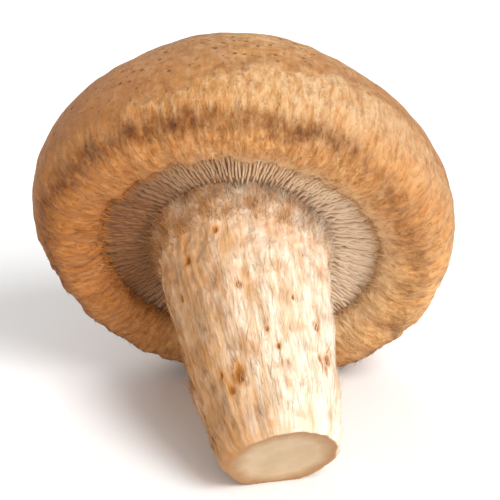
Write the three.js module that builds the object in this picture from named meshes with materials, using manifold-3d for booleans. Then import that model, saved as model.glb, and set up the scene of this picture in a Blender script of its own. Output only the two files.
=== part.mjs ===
// A fresh shiitake mushroom with its stem cut short. It lies as one does when it is put down:
// on the low side of its cap and on the cut end of its stem, with the gills towards -Y.
//
// Each piece is first built growing upright: +Z up the cap's axis from the cut end of the stem,
// and +Y towards the side that ends up underneath. Turns round the axis start at that side and
// go towards +X. The whole mushroom is then tipped over until cap and stem both touch down.

import * as THREE from 'three';
import { mergeVertices } from 'three/addons/utils/BufferGeometryUtils.js';
import Module from 'manifold-3d';

const wasm = await Module();
wasm.setup();

// Driving dimensions: millimetres, or what the name says

// Cap: the widest ring, the dome over it, and the margin that rolls in under it
const RING_HEIGHT = 31.8; // from the cut end of the stem up to the widest ring
const CAP_RADIUS = 24.8;
const CROWN_HEIGHT = 18.4; // above the widest ring
const SHOULDER_POWER = 0.95; // below 1 fills out the shoulder of the dome
const ROLL_RADIUS = 20.6; // where the rolled margin is lowest
const ROLL_DROP = 6.0; // below the widest ring
const LIP_RADIUS = 16.4; // where the rolled margin meets the gills
const LIP_DROP = 4.2;
const FLESH_DROP = 0.4; // where the gills grow from the flesh of the cap
const CAP_STEPS_AROUND = 96;
const DOME_STEPS = 13;
const ROLL_OUTER_STEPS = 5;
const ROLL_INNER_STEPS = 4;

// The outline isn't round: each wave has its lobes, its share of the radius and its turn.
// The waves fade in from the stem outwards.
const OUTLINE_WAVES = [
  { lobes: 1, share: 0.025, turnDegrees: 48 },
  { lobes: 2, share: 0.035, turnDegrees: 38 },
  { lobes: 3, share: 0.006, turnDegrees: 0 },
  { lobes: 5, share: -0.008, turnDegrees: 0 },
];
const WAVE_FADE_START = 9;
const WAVE_FADE_END = 23;

// Low relief: dents in the skin of the dome, and ribs of fibre on the underside of the roll.
// The twist is how fast a set of dents winds round the dome on the way down from the crown.
const DENT_DEPTH = 0.15;
const DENTS = [
  { lobes: 3, share: 1, twist: 2 },
  { lobes: 5, share: 0.6, twist: -5 },
  { lobes: 8, share: 0.4, twist: 9 },
];
const FIBRE_RIB_HEIGHT = 0.12;
const FIBRE_RIBS = [
  { lobes: 19, startRadians: 0 },
  { lobes: 31, startRadians: 1 },
];

// Gills: long ones run from stem to margin, and a short one stands between each two
const GILL_PAIRS = 56;
const GILL_THICKNESS = 0.6;
const GILL_BASE_THICKNESS = 0.8;
const GILL_SINK = 0.4; // how far a gill's root goes into the base
const GILL_EDGE_DROP_AT_STEM = 3.3; // the free edges, below the widest ring
const GILL_EDGE_DROP_AT_LIP = 4.0;
const GILL_EDGE_VARIATION = 0.3;
const SHORT_GILL_START = 14.0; // from the cap's axis
const SHORT_GILL_START_VARIATION = 0.7;
const SHORT_GILL_SLOPE = 0.7; // from its start out to its full height
const LONG_GILL_SLOPE = 0.1;

// The gills' small differences come from one repeatable run of random numbers
const RANDOM_SEED = 41;
const RANDOM_FACTOR = 1664525;
const RANDOM_STEP = 1013904223;
const RANDOM_RANGE = 2 ** 32;

// Stem: it bends to one side and widens towards the cap
const CUT_RADIUS = 6.8;
const CUT_EDGE_ROUNDING = 0.45;
const STEM_TOP_RADIUS = 10.4;
const EVEN_FLARE_SHARE = 0.55; // the rest of the widening comes close under the cap
const STEM_BELLY = 0.8;
const STEM_FOOT_OFFSET = { x: 6.2, y: 3.6 }; // the cut end's middle, from the cap's axis
const STEM_BEND = { x: 2.4, y: 1.0, z: 15 }; // the point that the bend is drawn towards
const STEM_RIDGE_HEIGHT = 0.1;
const STEM_RIDGES = [
  { lobes: 7, twist: 2 },
  { lobes: 12, twist: -3 },
];
const STEM_STEPS_AROUND = 60;
const STEM_STEPS_ALONG = 14;

// How the pieces meet each other and the surface that the mushroom lies on
const GAP = 0.3;
const REST_FLAT_DEPTH = 0.6; // how much of each low point is pressed flat
const SURFACE_WIDTH = 200;
const LEAST_RISE_DEGREES = 10; // the cap's axis ends up between these two
const MOST_RISE_DEGREES = 45;
const RISE_PRECISION_DEGREES = 0.001;

// Colours of the skin, the gills and the stem
const SKIN_COLOUR = 0xbc8f62;
const GILL_COLOUR = 0xb9a28a;
const STEM_COLOUR = 0xe6d3b3;
const FLESH_ROUGHNESS = 0.85;

const degrees = THREE.MathUtils.degToRad;
const mix = THREE.MathUtils.lerp;
const HALF_TURN = Math.PI;
const QUARTER_TURN = Math.PI / 2;
const FULL_TURN = 2 * Math.PI;

// Shapes and solids

function turnsAround(steps) {
  return Array.from({ length: steps }, (_, i) => (i / steps) * FULL_TURN);
}

function pointAround(turn, radius, height) {
  return new THREE.Vector3(radius * Math.sin(turn), radius * Math.cos(turn), height);
}

// A closed skin over rings of points that run from the top down. Poles close its two ends,
// and without poles the last ring joins the first.
function loft(rings, topPole, bottomPole) {
  const around = rings[0].length;
  const points = rings.flat();
  const faces = [];
  const bands = topPole ? rings.length - 1 : rings.length;
  for (let band = 0; band < bands; band += 1) {
    const upper = band * around;
    const lower = ((band + 1) % rings.length) * around;
    for (let i = 0; i < around; i += 1) {
      const next = (i + 1) % around;
      faces.push(upper + i, upper + next, lower + i);
      faces.push(upper + next, lower + next, lower + i);
    }
  }
  if (topPole) {
    const lastRing = (rings.length - 1) * around;
    const top = points.push(topPole) - 1;
    const bottom = points.push(bottomPole) - 1;
    for (let i = 0; i < around; i += 1) {
      const next = (i + 1) % around;
      faces.push(top, next, i);
      faces.push(bottom, lastRing + i, lastRing + next);
    }
  }
  const geometry = new THREE.BufferGeometry().setFromPoints(points);
  geometry.setIndex(faces);
  return geometry;
}

function toSolid(geometry) {
  const bare = geometry.clone();
  bare.deleteAttribute('normal');
  bare.deleteAttribute('uv');
  const merged = mergeVertices(bare);
  const vertProperties = new Float32Array(merged.attributes.position.array);
  const triVerts = new Uint32Array(merged.index.array);
  return new wasm.Manifold(new wasm.Mesh({ numProp: 3, vertProperties, triVerts }));
}

function toGeometry(solid) {
  const mesh = solid.getMesh();
  const geometry = new THREE.BufferGeometry();
  geometry.setAttribute('position', new THREE.BufferAttribute(mesh.vertProperties, 3));
  geometry.setIndex(new THREE.BufferAttribute(mesh.triVerts, 1));
  return geometry;
}

// Repeatable random numbers from 0 to 1
function randomSource(seed) {
  let state = seed;
  return () => {
    state = (state * RANDOM_FACTOR + RANDOM_STEP) % RANDOM_RANGE;
    return state / RANDOM_RANGE;
  };
}

// Cap

function outlineFactor(turn, radius) {
  const fade = THREE.MathUtils.clamp(
    (radius - WAVE_FADE_START) / (WAVE_FADE_END - WAVE_FADE_START), 0, 1);
  const wave = OUTLINE_WAVES.reduce(
    (sum, { lobes, share, turnDegrees }) =>
      sum + share * Math.cos(lobes * (turn - degrees(turnDegrees))), 0);
  return 1 + fade * wave;
}

function lipRadius(turn) {
  return LIP_RADIUS * outlineFactor(turn, LIP_RADIUS);
}

// How far the dome's skin is pushed in: strongest half-way down, none at crown and margin
function dent(turn, fall) {
  const pattern = DENTS.reduce(
    (sum, { lobes, share, twist }) => sum + share * Math.sin(lobes * turn + twist * fall), 0);
  return DENT_DEPTH * pattern * Math.sin(2 * fall) ** 2;
}

function fibreRib(turn, fall) {
  const pattern = FIBRE_RIBS.reduce(
    (sum, { lobes, startRadians }) => sum + Math.sin(lobes * turn + startRadians), 0);
  return FIBRE_RIB_HEIGHT * pattern * Math.sin(fall);
}

function capRing(profile) {
  return turnsAround(CAP_STEPS_AROUND).map((turn) => {
    const { radius, height } = profile(turn);
    return pointAround(turn, radius * outlineFactor(turn, radius), RING_HEIGHT + height);
  });
}

function domeRing(fall) {
  return capRing((turn) => ({
    radius: CAP_RADIUS * Math.sin(fall) ** SHOULDER_POWER,
    height: (CROWN_HEIGHT - dent(turn, fall)) * Math.cos(fall),
  }));
}

function outerRollRing(fall) {
  return capRing((turn) => ({
    radius: mix(ROLL_RADIUS, CAP_RADIUS, Math.cos(fall)),
    height: -ROLL_DROP * Math.sin(fall) - fibreRib(turn, fall),
  }));
}

function innerRollRing(rise) {
  return capRing((turn) => ({
    radius: mix(ROLL_RADIUS, LIP_RADIUS, Math.sin(rise)),
    height: mix(-ROLL_DROP, -LIP_DROP, 1 - Math.cos(rise)) - fibreRib(turn, QUARTER_TURN - rise),
  }));
}

function quarterSteps(steps) {
  return Array.from({ length: steps }, (_, i) => ((i + 1) / steps) * QUARTER_TURN);
}

function capGeometry() {
  const crown = new THREE.Vector3(0, 0, RING_HEIGHT + CROWN_HEIGHT);
  const flesh = new THREE.Vector3(0, 0, RING_HEIGHT - FLESH_DROP);
  const rings = [
    ...quarterSteps(DOME_STEPS).map(domeRing),
    ...quarterSteps(ROLL_OUTER_STEPS).map(outerRollRing),
    ...quarterSteps(ROLL_INNER_STEPS).map(innerRollRing),
    capRing(() => ({ radius: LIP_RADIUS, height: -FLESH_DROP })),
  ];
  return loft(rings, crown, flesh);
}

// Gills: blades fused to the thin base that they grow from

const GILL_INNER_RADIUS = STEM_TOP_RADIUS + STEM_RIDGE_HEIGHT * STEM_RIDGES.length + GAP;

function gillBase() {
  const top = RING_HEIGHT - FLESH_DROP - GAP;
  const bottom = top - GILL_BASE_THICKNESS;
  const turns = turnsAround(CAP_STEPS_AROUND);
  return loft([
    turns.map((turn) => pointAround(turn, GILL_INNER_RADIUS, top)),
    turns.map((turn) => pointAround(turn, lipRadius(turn) - GAP, top)),
    turns.map((turn) => pointAround(turn, lipRadius(turn) - GAP, bottom)),
    turns.map((turn) => pointAround(turn, GILL_INNER_RADIUS, bottom)),
  ]);
}

// One gill: its side outline, drawn from the axis outwards and up, given its thickness and
// turned to its place. The slope is how far out from its start it reaches its full height.
function gill(turn, start, slope, edgeShift) {
  const end = lipRadius(turn) - 2 * GAP;
  const root = RING_HEIGHT - FLESH_DROP - GAP - GILL_BASE_THICKNESS + GILL_SINK;
  const edgeAt = (radius) => {
    const share = (radius - STEM_TOP_RADIUS) / (LIP_RADIUS - STEM_TOP_RADIUS);
    const drop = mix(GILL_EDGE_DROP_AT_STEM, GILL_EDGE_DROP_AT_LIP, share);
    return RING_HEIGHT - drop + edgeShift;
  };
  const middle = (start + slope + end) / 2;
  const outline = new THREE.Shape([
    new THREE.Vector2(start, root),
    new THREE.Vector2(start + slope, edgeAt(start + slope)),
    new THREE.Vector2(middle, edgeAt(middle) - GILL_EDGE_VARIATION / 2),
    new THREE.Vector2(end, edgeAt(end)),
    new THREE.Vector2(end, root),
  ]);
  const blade = new THREE.ExtrudeGeometry(outline, { depth: GILL_THICKNESS, bevelEnabled: false });
  blade.rotateX(QUARTER_TURN);
  blade.translate(0, GILL_THICKNESS / 2, 0);
  blade.rotateZ(QUARTER_TURN - turn);
  return blade;
}

function gillsGeometry() {
  const random = randomSource(RANDOM_SEED);
  const longStart = GILL_INNER_RADIUS + LONG_GILL_SLOPE / 2;
  let solid = toSolid(gillBase());
  for (const turn of turnsAround(GILL_PAIRS)) {
    const shortTurn = turn + HALF_TURN / GILL_PAIRS;
    const shortStart = SHORT_GILL_START + random() * SHORT_GILL_START_VARIATION;
    const longShift = random() * GILL_EDGE_VARIATION;
    const shortShift = random() * GILL_EDGE_VARIATION;
    solid = solid.add(toSolid(gill(turn, longStart, LONG_GILL_SLOPE, longShift)));
    solid = solid.add(toSolid(gill(shortTurn, shortStart, SHORT_GILL_SLOPE, shortShift)));
  }
  return toGeometry(solid);
}

// Stem

// The belly is fullest half-way up
function stemRadius(along) {
  const flare = mix(along ** 3, along, EVEN_FLARE_SHARE);
  return mix(CUT_RADIUS, STEM_TOP_RADIUS, flare) + STEM_BELLY * Math.sin(along * HALF_TURN);
}

function stemRidge(turn, along) {
  const pattern = STEM_RIDGES.reduce(
    (sum, { lobes, twist }) => sum + Math.sin(lobes * turn + twist * along), 0);
  return STEM_RIDGE_HEIGHT * pattern;
}

// A section of the stem: square to the centre line at the cut, square to the cap's axis on top
function stemRing(centre, direction, radius, along) {
  const across = new THREE.Vector3(1, 0, 0).projectOnPlane(direction).normalize();
  const under = new THREE.Vector3().crossVectors(direction, across);
  return turnsAround(STEM_STEPS_AROUND).map((turn) => {
    const reach = radius + stemRidge(turn, along);
    return centre.clone()
      .addScaledVector(under, reach * Math.cos(turn))
      .addScaledVector(across, reach * Math.sin(turn));
  });
}

function stemGeometry() {
  const gillLevel = RING_HEIGHT - GILL_EDGE_DROP_AT_STEM;
  const stemTop = RING_HEIGHT - FLESH_DROP - GAP;
  const centreLine = new THREE.QuadraticBezierCurve3(
    new THREE.Vector3(STEM_FOOT_OFFSET.x, STEM_FOOT_OFFSET.y, 0),
    new THREE.Vector3(STEM_BEND.x, STEM_BEND.y, STEM_BEND.z),
    new THREE.Vector3(0, 0, gillLevel));
  const upright = new THREE.Vector3(0, 0, 1);
  const foot = centreLine.getPoint(0);
  const footDirection = centreLine.getTangent(0);
  const rings = [stemRing(new THREE.Vector3(0, 0, stemTop), upright, STEM_TOP_RADIUS, 1)];
  for (let step = STEM_STEPS_ALONG; step >= 0; step -= 1) {
    const along = step / STEM_STEPS_ALONG;
    const direction = centreLine.getTangent(along).lerp(upright, along ** 2).normalize();
    const centre = centreLine.getPoint(along);
    if (step === 0) {
      centre.addScaledVector(footDirection, CUT_EDGE_ROUNDING);
    }
    rings.push(stemRing(centre, direction, stemRadius(along), along));
  }
  rings.push(stemRing(foot, footDirection, CUT_RADIUS - CUT_EDGE_ROUNDING, 0));
  return loft(rings, new THREE.Vector3(0, 0, stemTop), foot);
}

// Laying the mushroom down

function lowest(geometry) {
  geometry.computeBoundingBox();
  return geometry.boundingBox.min.z;
}

// The axis of the cap ends up this far above level
function tipped(geometry, axisRise) {
  return geometry.clone().rotateX(axisRise - QUARTER_TURN);
}

// The rise of the axis at which the cap and the stem touch the surface together
function restingRise(cap, stem) {
  let low = degrees(LEAST_RISE_DEGREES);
  let high = degrees(MOST_RISE_DEGREES);
  while (high - low > degrees(RISE_PRECISION_DEGREES)) {
    const rise = (low + high) / 2;
    if (lowest(tipped(stem, rise)) < lowest(tipped(cap, rise))) {
      high = rise;
    } else {
      low = rise;
    }
  }
  return low;
}

// What would sink below the surface is pressed flat
function pressedFlat(geometry) {
  const surface = new THREE.BoxGeometry(SURFACE_WIDTH, SURFACE_WIDTH, SURFACE_WIDTH);
  surface.translate(0, 0, -SURFACE_WIDTH / 2);
  return toGeometry(toSolid(geometry).subtract(toSolid(surface)));
}

function piece(name, geometry, color) {
  geometry.computeVertexNormals();
  const material = new THREE.MeshStandardMaterial({
    color, roughness: FLESH_ROUGHNESS, metalness: 0, flatShading: true });
  const mesh = new THREE.Mesh(geometry, material);
  mesh.name = name;
  return mesh;
}

function shiitake() {
  const cap = capGeometry();
  const stem = stemGeometry();
  const rise = restingRise(cap, stem);
  const lift = -lowest(tipped(cap, rise)) - REST_FLAT_DEPTH;
  const laid = (geometry) => tipped(geometry, rise).translate(0, 0, lift);
  const mushroom = new THREE.Group();
  mushroom.add(piece('cap', pressedFlat(laid(cap)), SKIN_COLOUR));
  mushroom.add(piece('gills', laid(gillsGeometry()), GILL_COLOUR));
  mushroom.add(piece('stem', pressedFlat(laid(stem)), STEM_COLOUR));
  const middle = new THREE.Box3().setFromObject(mushroom).getCenter(new THREE.Vector3());
  mushroom.position.set(-middle.x, -middle.y, 0);
  return mushroom;
}

export default shiitake();
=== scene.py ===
# %% [markdown]
# # A fresh shiitake mushroom, lying on its side
#
# A mushroom is one soft body with three finishes: suede-like skin over the cap, cottony fibre
# under the rolled margin and on the stem, and a ring of thin gills between them. It could be
# sculpted by hand, but its shape grows round one axis, so formulas in turns and distances are
# easier to read and to change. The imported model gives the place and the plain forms. This file
# dresses them: each form is built again with far more points, and the relief that skin and
# fibre really have is pushed into those points before any material is made.

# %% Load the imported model
import itertools
import math

import bpy
import numpy as np
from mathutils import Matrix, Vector


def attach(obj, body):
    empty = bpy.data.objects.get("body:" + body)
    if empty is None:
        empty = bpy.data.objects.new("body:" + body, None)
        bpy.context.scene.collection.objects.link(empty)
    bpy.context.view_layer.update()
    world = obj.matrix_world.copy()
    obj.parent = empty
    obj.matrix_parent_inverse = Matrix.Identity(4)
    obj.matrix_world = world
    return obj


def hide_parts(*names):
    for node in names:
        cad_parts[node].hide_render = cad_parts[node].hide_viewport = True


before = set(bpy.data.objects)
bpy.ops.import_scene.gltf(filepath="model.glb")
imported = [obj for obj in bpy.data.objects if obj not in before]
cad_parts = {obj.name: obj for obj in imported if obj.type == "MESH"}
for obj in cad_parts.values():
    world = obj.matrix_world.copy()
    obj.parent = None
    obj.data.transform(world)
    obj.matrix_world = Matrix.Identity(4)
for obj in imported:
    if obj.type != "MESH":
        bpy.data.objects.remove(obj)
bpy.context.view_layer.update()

MM = 0.001

# %% [markdown]
# ## Where the cap's axis is
#
# The mushroom lies tipped over, so nothing in it is level. The one flat ring in it is the back
# of the gills, which is square to the cap's axis and centred on it. Reading the axis off that
# ring keeps every finish in place even if the mushroom is tipped a little differently later.

# %% Read the axis from the flat back of the gills
BACK_OF_GILLS = 0.7  # mm below the cap's widest ring
GILL_HOLE = 12.0  # mm; only the inner circle's corners are nearer to the axis than this
SAME_WAY = 0.002  # two faces whose normals differ by less than this face the same way

gill_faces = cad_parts["gills"].data.polygons
gill_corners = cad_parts["gills"].data.vertices
areas = {}
for face in gill_faces:
    facing = tuple(round(part, 3) for part in face.normal)
    areas[facing] = areas.get(facing, 0) + face.area
flat_facing = Vector(max(areas, key=areas.get))
back_faces = [face for face in gill_faces if (face.normal - flat_facing).length < SAME_WAY]
AXIS = np.array(sum((face.normal * face.area for face in back_faces), Vector()).normalized())
back_points = np.array([gill_corners[i].co for face in back_faces for i in face.vertices]) / MM
back_points = np.unique(back_points.round(4), axis=0)
rough_centre = (back_points.min(axis=0) + back_points.max(axis=0)) / 2
near = np.linalg.norm(back_points - rough_centre, axis=1) < GILL_HOLE
RING_CENTRE = back_points[near].mean(axis=0) + AXIS * BACK_OF_GILLS
SIDE = np.array([1.0, 0.0, 0.0])
UNDER = np.cross(AXIS, SIDE)
print("cap axis", AXIS.round(4), "widest ring's centre, mm", RING_CENTRE.round(2))

# %% [markdown]
# ## The camera
#
# The picture looks a little down on the mushroom and almost straight at its stem, from far
# enough away that near and far parts keep their sizes. A long lens from 0.4 m gives that
# flat, catalogue look. The aim is a point just under the middle of the cap, so that cap and
# stem fill the frame together.

# %% Place the camera
VIEW_AZIMUTH = math.radians(3)
VIEW_ELEVATION = math.radians(22.7)
VIEW_DISTANCE = 400  # mm
FIELD_WIDTH = 58.8  # mm across the frame, at the cap
AIM_RIGHT = 1.1  # mm from the cap's widest ring
AIM_DOWN = 3.6
SENSOR_WIDTH = 36  # mm
NEAREST_SEEN = 0.01  # metres

to_camera = np.array([
    math.sin(VIEW_AZIMUTH) * math.cos(VIEW_ELEVATION),
    -math.cos(VIEW_AZIMUTH) * math.cos(VIEW_ELEVATION),
    math.sin(VIEW_ELEVATION),
])
view_right = np.cross(-to_camera, [0, 0, 1])
view_right /= np.linalg.norm(view_right)
view_up = np.cross(view_right, -to_camera)
aim = RING_CENTRE + AIM_RIGHT * view_right - AIM_DOWN * view_up

camera_data = bpy.data.cameras.new("camera")
camera_data.sensor_width = SENSOR_WIDTH
camera_data.lens = SENSOR_WIDTH * VIEW_DISTANCE / FIELD_WIDTH
camera_data.clip_start = NEAREST_SEEN
camera = bpy.data.objects.new("camera", camera_data)
camera.location = (aim + VIEW_DISTANCE * to_camera) * MM
camera.rotation_euler = Vector(-to_camera).to_track_quat("-Z", "Y").to_euler()
bpy.context.scene.collection.objects.link(camera)
bpy.context.scene.camera = camera
print("lens, mm:", round(camera_data.lens, 1))

# %% [markdown]
# ## Sizes
#
# These are the mushroom's own measures, in millimetres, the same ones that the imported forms
# were made from. Heights count along the cap's axis from the cut end of the stem, and a turn
# counts round it, from the side that lies underneath towards +X. A drop counts down from the
# cap's widest ring. The stem's bend goes through points given as millimetres towards +X,
# towards the underside and up the axis.

# %% The mushroom's measures
RING_HEIGHT = 31.8
CAP_RADIUS = 24.8
CROWN_HEIGHT = 18.4
SHOULDER_POWER = 0.95
ROLL_RADIUS = 20.6
ROLL_DROP = 6.0
LIP_RADIUS = 16.4
LIP_DROP = 4.2
FLESH_DROP = 0.4
GILL_EDGE_DROP_AT_STEM = 3.3
GILL_EDGE_DROP_AT_LIP = 4.0
CUT_RADIUS = 6.8
CUT_EDGE_ROUNDING = 0.45
STEM_TOP_RADIUS = 10.4
EVEN_FLARE_SHARE = 0.55
STEM_BELLY = 0.8
STEM_FOOT = np.array([6.2, 3.6, 0.0])
STEM_BEND = np.array([2.4, 1.0, 15.0])
STEM_HEAD = np.array([0.0, 0.0, RING_HEIGHT - GILL_EDGE_DROP_AT_STEM])
# lobes, share of the radius, and the turn in degrees where a lobe is widest
OUTLINE_WAVES = [(1, 0.025, 48), (2, 0.035, 38), (3, 0.006, 0), (5, -0.008, 0)]
WAVE_FADE = (9, 23)  # mm from the axis, where the outline starts to wave and where it is whole
print("cap", 2 * CAP_RADIUS, "mm across, stem", 2 * CUT_RADIUS, "mm at the cut")

# %% [markdown]
# ## Helpers for growing a shape
#
# Each form is a stack of rings. The relief on it comes from noise: smooth random bumps that are
# the same on every run, because each one is worked out from its place and a seed. Noise is
# looked up in millimetres, so a bump's size is a real size.

# %% Blending and noise
QUARTER = math.pi / 2
SPREAD = (73856093, 19349663, 83492791, 50331653)
STIR = (2246822519, 3266489917)
LOW_BITS = 0xFFFFFFFF


def mix(low, high, share):
    return low + (high - low) * share


def ramp(values, start, end):
    """0 before start, 1 after end, and a soft slope between them."""
    share = np.clip((values - start) / (end - start), 0, 1)
    return share * share * (3 - 2 * share)


def lattice(cells, seed):
    """A repeatable number from -1 to 1 for each whole-number place."""
    mixed = cells[..., 0] * SPREAD[0] ^ cells[..., 1] * SPREAD[1] ^ cells[..., 2] * SPREAD[2]
    mixed = (mixed ^ seed * SPREAD[3]) & LOW_BITS
    for shift, factor in ((15, STIR[0]), (13, STIR[1])):
        mixed = (mixed ^ mixed >> shift) * factor & LOW_BITS
    return (mixed ^ mixed >> 16) / 2**31 - 1


def noise(points, size, seed):
    """Smooth bumps from -1 to 1, each about size millimetres across."""
    places = np.asarray(points) / size
    cells = np.floor(places).astype(np.int64)
    soft = ramp(places - cells, 0, 1)
    total = 0
    for corner in itertools.product((0, 1), repeat=3):
        weight = np.prod(np.where(corner, soft, 1 - soft), axis=-1)
        total = total + weight * lattice(cells + corner, seed)
    return total


def layered_noise(points, size, seed, layers=3):
    """Noise with finer and weaker noise on top of it."""
    return sum(noise(points, size / 2**i, seed + i) / 2**i for i in range(layers))


print("noise at one place:", round(float(noise([[1.5, 2.5, 3.5]], 2.0, 1)[0]), 3))

# %% [markdown]
# Fibre runs away from the axis, so its noise is stretched: it changes fast round the axis and
# slowly outwards. Looking it up on a circle, instead of along a plain angle, leaves no seam
# where the turn comes back to its start.

# %% Streaks that run outwards
def on_circle(turns, radius, height):
    turns, radius, height = np.broadcast_arrays(turns, radius, height)
    return np.stack([radius * np.sin(turns), radius * np.cos(turns), height], axis=-1)


def streaks(turns, distance, count, length, seed):
    """Noise in about count streaks round the axis, each about length millimetres long."""
    places = on_circle(turns, count / (2 * math.pi), distance / length)
    return layered_noise(places, 1.0, seed, layers=2)


def around(count):
    return np.arange(count) / count * 2 * math.pi


def outline_factor(turns, radius):
    """How much wider or narrower than round the mushroom is at each turn."""
    wave = sum(share * np.cos(lobes * (turns - math.radians(start)))
               for lobes, share, start in OUTLINE_WAVES)
    fade = np.clip((radius - WAVE_FADE[0]) / (WAVE_FADE[1] - WAVE_FADE[0]), 0, 1)
    return 1 + fade * wave


def lip_radius(turns):
    return LIP_RADIUS * outline_factor(turns, LIP_RADIUS)


lip_all_round = lip_radius(around(90))
print("lip from", lip_all_round.min().round(2), "to", lip_all_round.max().round(2), "mm")

# %% [markdown]
# A piece is made upright and laid down as its points go into the mesh. Points that would sink
# into the surface are pressed flat on it, which is what soft flesh does. Every point also keeps
# its growth: the direction round the axis and the distance along the form. The materials read
# that, so streaks and zones of colour follow the shape.

# %% From upright points to a mesh that lies down
def laid_down(points):
    """Upright millimetres to the place in the scene, in metres, pressed flat at the ground."""
    x, y, z = np.moveaxis(np.asarray(points), -1, 0)
    placed = (RING_CENTRE + x[..., None] * SIDE + y[..., None] * UNDER
              + (z[..., None] - RING_HEIGHT) * AXIS)
    placed[..., 2] = np.maximum(placed[..., 2], 0)
    return placed * MM


def ring_faces(rings, steps, wraps=False):
    """Faces between rings that follow each other, with their outsides out."""
    faces = []
    for ring in range(rings if wraps else rings - 1):
        upper = ring * steps
        lower = (ring + 1) % rings * steps
        faces += [(upper + i, upper + (i + 1) % steps, lower + (i + 1) % steps, lower + i)
                  for i in range(steps)]
    return faces


def fan_faces(pole, ring_start, steps, downwards):
    faces = [(pole, ring_start + i, ring_start + (i + 1) % steps) for i in range(steps)]
    return faces if downwards else [face[::-1] for face in faces]


def make_piece(name, points, faces, **point_values):
    mesh = bpy.data.meshes.new(name)
    mesh.from_pydata(laid_down(points), [], faces)
    for value_name, values in point_values.items():
        values = np.asarray(values, dtype=np.float32)
        kind = "FLOAT_VECTOR" if values.ndim == 2 else "FLOAT"
        data = mesh.attributes.new(value_name, kind, "POINT").data
        data.foreach_set("vector" if values.ndim == 2 else "value", values.ravel())
    mesh.shade_smooth()
    piece = bpy.data.objects.new(name, mesh)
    bpy.context.scene.collection.objects.link(piece)
    print(name, len(mesh.vertices), "points,", len(mesh.polygons), "faces")
    return piece


def growth_of(turns, distance):
    """Towards +X, towards the underside, and the distance along the form, for each point."""
    turns, distance = np.broadcast_arrays(turns, distance)
    return np.stack([np.sin(turns), np.cos(turns), distance], axis=-1).reshape(-1, 3)


print("the widest ring's centre lies", round(float(RING_CENTRE[2]), 1), "mm above the ground")

# %% [markdown]
# ## The cap
#
# The cap of a young shiitake is a thick dome whose edge rolls in under it. Its profile is three
# curves end to end: the dome, the outer half of the roll and its inner half. Each point's
# distance along the profile is kept, counted from the widest ring: below zero on the skin of
# the dome, above zero on the fibre under the roll.

# %% The cap's profile
CAP_AROUND = 600
DOME_RINGS = 92
OUTER_ROLL_RINGS = 30
INNER_ROLL_RINGS = 24
RECESS_RINGS = 4


def cap_profile():
    """Radius and height below or above the widest ring, from the crown to the recess."""
    fall = np.arange(1, DOME_RINGS + 1) / DOME_RINGS * QUARTER
    dome = np.stack([CAP_RADIUS * np.sin(fall) ** SHOULDER_POWER, CROWN_HEIGHT * np.cos(fall)])
    fall = np.arange(1, OUTER_ROLL_RINGS + 1) / OUTER_ROLL_RINGS * QUARTER
    outer = np.stack([mix(ROLL_RADIUS, CAP_RADIUS, np.cos(fall)), -ROLL_DROP * np.sin(fall)])
    rise = np.arange(1, INNER_ROLL_RINGS + 1) / INNER_ROLL_RINGS * QUARTER
    inner = np.stack([mix(ROLL_RADIUS, LIP_RADIUS, np.sin(rise)),
                      mix(-ROLL_DROP, -LIP_DROP, 1 - np.cos(rise))])
    up = np.arange(1, RECESS_RINGS + 1) / RECESS_RINGS
    recess = np.stack([np.full(RECESS_RINGS, LIP_RADIUS), mix(-LIP_DROP, -FLESH_DROP, up)])
    return np.concatenate([dome, outer, inner, recess], axis=1)


cap_radii, cap_heights = cap_profile()
steps_along = np.hypot(np.diff(cap_radii, prepend=0), np.diff(cap_heights, prepend=CROWN_HEIGHT))
cap_distance = np.cumsum(steps_along)
cap_distance -= cap_distance[DOME_RINGS - 1]
CROWN_DISTANCE = cap_distance[0]
LIP_DISTANCE = cap_distance[-RECESS_RINGS - 1]
print("skin", round(-CROWN_DISTANCE, 1), "mm from crown to rim,",
      "fibre", round(LIP_DISTANCE, 1), "mm from rim to gills")

# %% [markdown]
# The relief has three parts. The skin has shallow dents, and fine wrinkles where it has dried
# at the crown. The fibre under the roll lies in radial ridges with cottony clumps on them. And
# the skin's edge stands a little proud of the fibre, along a line that wanders. How much of a
# point is skin is kept with the mesh, so that relief and colour change at the same line.

# %% The cap's relief
DENT_DEPTH = 0.15
DENTS = [(3, 1, 2), (5, 0.6, -5), (8, 0.4, 9)]  # lobes, share of the depth, twist
WRINKLE_DEPTH, WRINKLE_SIZE = 0.35, 3.2
WRINKLE_REACH = (5, 15)  # mm from the crown
SKIN_WAVE, SKIN_WAVE_SIZE = 0.09, 1.6
FIBRE_RIB_HEIGHT = 0.1
FIBRE_RIBS = [(19, 0), (31, 1)]  # lobes, start
FIBRE_RIBS_GROW = (0, 4)  # mm from the widest ring
SWELL_HEIGHT, SWELL_SIZE = 0.22, 6.5
STREAK_DEPTH = 0.2
FIBRE_STREAKS = (230, 2.0)  # how many round the axis, mm long
CLUMP_DEPTH, CLUMP_SIZE = 0.2, 1.5
SKIN_EDGE_STEP = 0.05
SKIN_EDGE = 2.2  # mm from the widest ring, where the skin ends
WORN_BACK = 7.0  # mm, how far it has worn back on the side that rubbed
WORN_TURN = math.radians(146)
WORN_WIDTH = math.radians(48)
SKIN_EDGE_WANDER = 1.5
SKIN_EDGE_SWING = 5  # mm between one bay in the edge and the next
SKIN_EDGE_BLUR = 2.8


def skin_share(turns, distance):
    """1 on the skin, 0 on the fibre, and a soft step between them."""
    circle = on_circle(turns, CAP_RADIUS, 0)
    worn = np.exp(-((turns - WORN_TURN) / WORN_WIDTH) ** 2)
    wander = SKIN_EDGE_WANDER * layered_noise(circle, SKIN_EDGE_SWING, 21, layers=5)
    edge = SKIN_EDGE - WORN_BACK * worn + wander
    return 1 - ramp(distance, edge - SKIN_EDGE_BLUR, edge + SKIN_EDGE_BLUR)


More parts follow.
